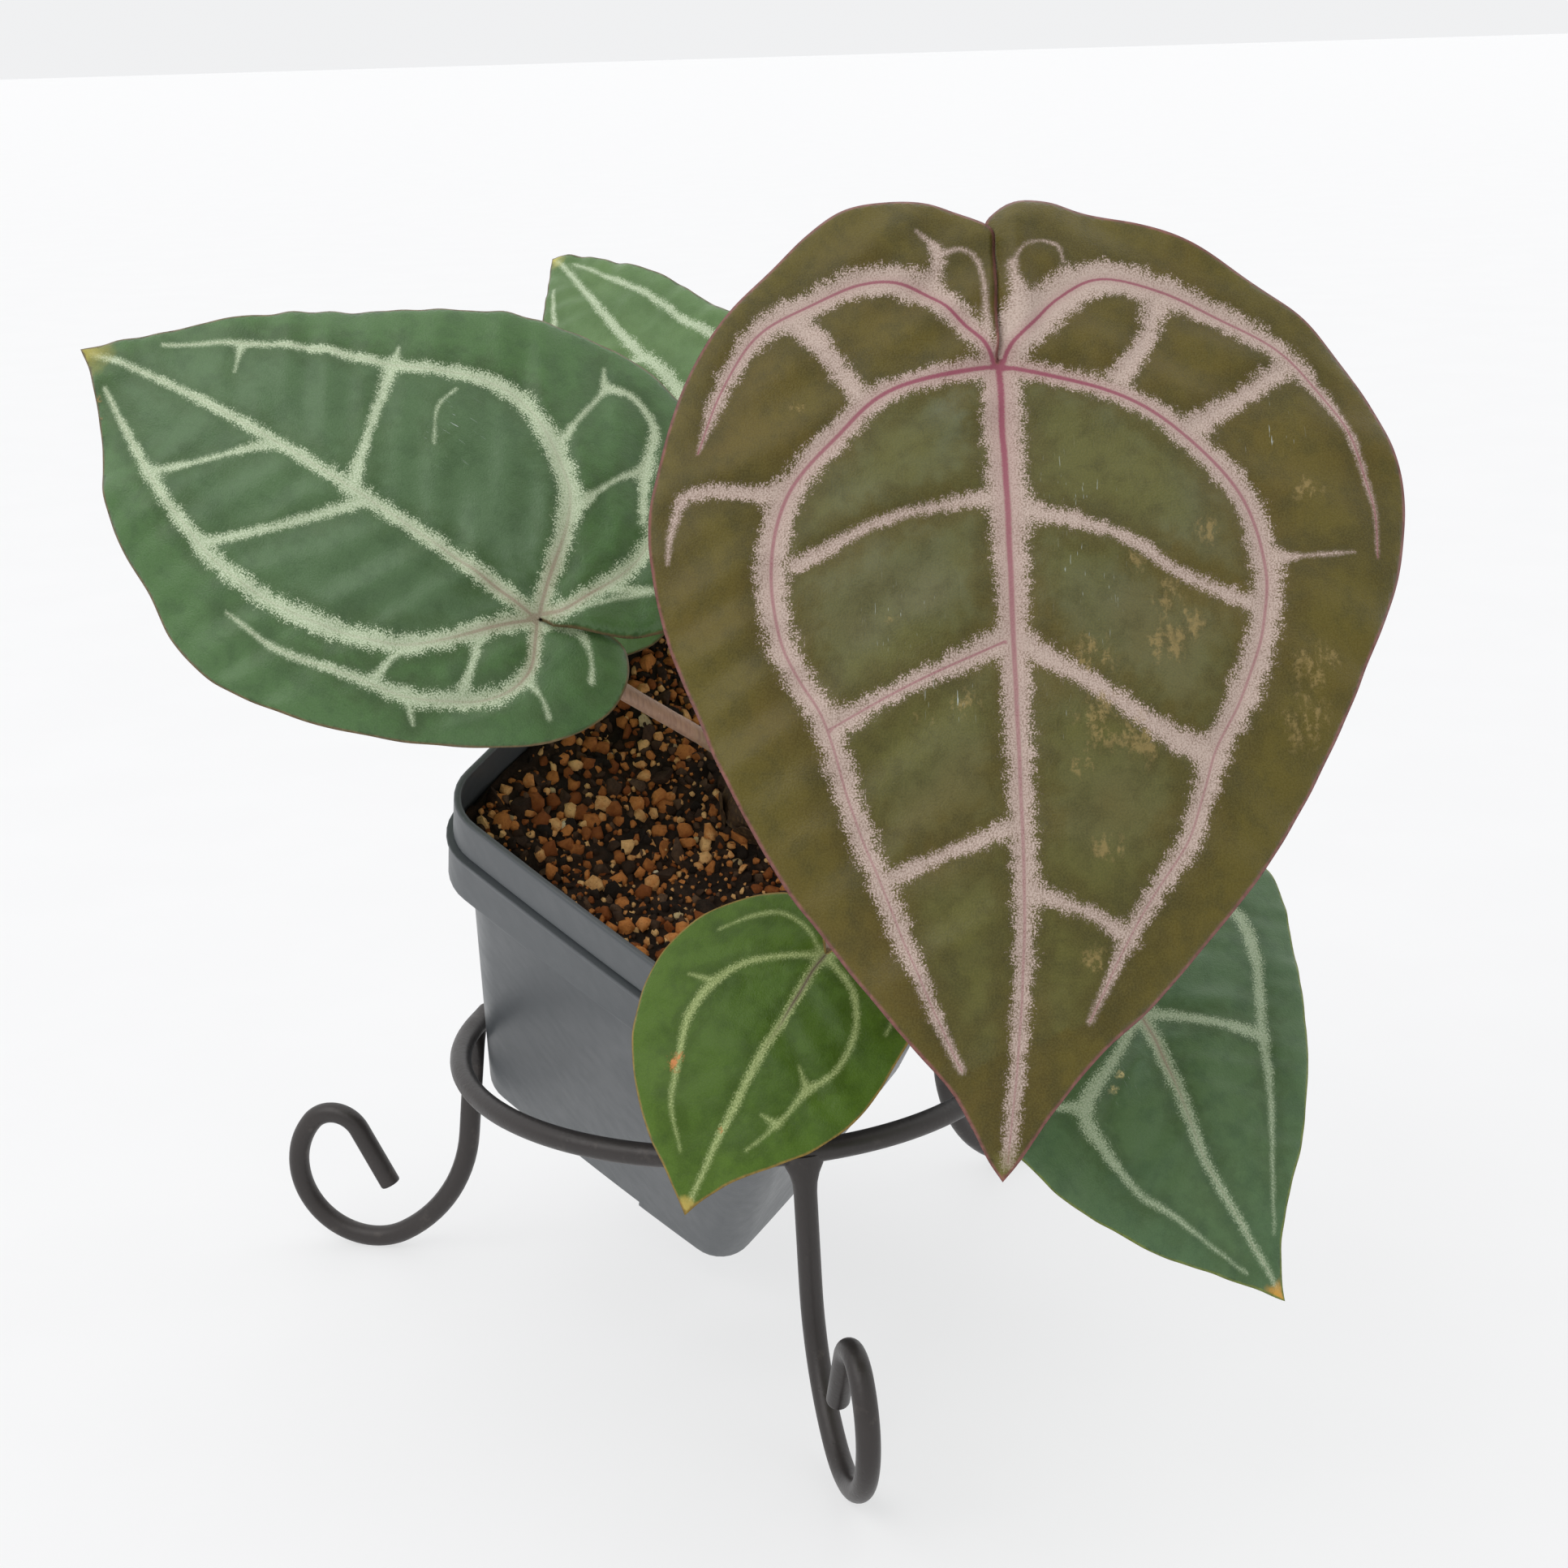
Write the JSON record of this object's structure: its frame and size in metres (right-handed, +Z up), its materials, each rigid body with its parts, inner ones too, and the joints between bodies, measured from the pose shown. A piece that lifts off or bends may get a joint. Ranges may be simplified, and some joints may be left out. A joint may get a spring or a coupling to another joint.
{
  "type": "potted anthurium in a wire ring stand",
  "caption": "Anthurium with heart-shaped veined leaves in a square plastic pot, leaning forward in a wire ring on scrolled legs.",
  "frame": {"origin": "middle of the bounding box's bottom, on the surface that the legs stand on", "axes": "+Z up; the large leaf and the pot's open top face -Y"},
  "size_m": [0.2298, 0.2272, 0.2406],
  "materials": {
    "pot_plastic": "satin grey moulded plastic",
    "potting_mix": "dark loose potting mix with grit",
    "stand_wire": "semi-gloss dark coated wire",
    "crown": "short living stem with dry leaf bases",
    "stalk": "smooth living leaf stalk",
    "bronze_leaf": "velvety living leaf with pale veins",
    "green_leaf": "velvety living leaf with pale veins"
  },
  "bodies": {
    "root": {"pot": "pot_plastic", "soil": "potting_mix", "stand_ring": "stand_wire", "stand_leg_front": "stand_wire", "stand_leg_left": "stand_wire", "stand_leg_right": "stand_wire", "crown": "crown", "petiole_1": "stalk", "petiole_2": "stalk", "petiole_3": "stalk", "petiole_4": "stalk", "petiole_5": "stalk", "leaf_1": "bronze_leaf", "leaf_2": "green_leaf", "leaf_3": "green_leaf", "leaf_4": "green_leaf", "leaf_5": "green_leaf"}
  },
  "joints": []
}
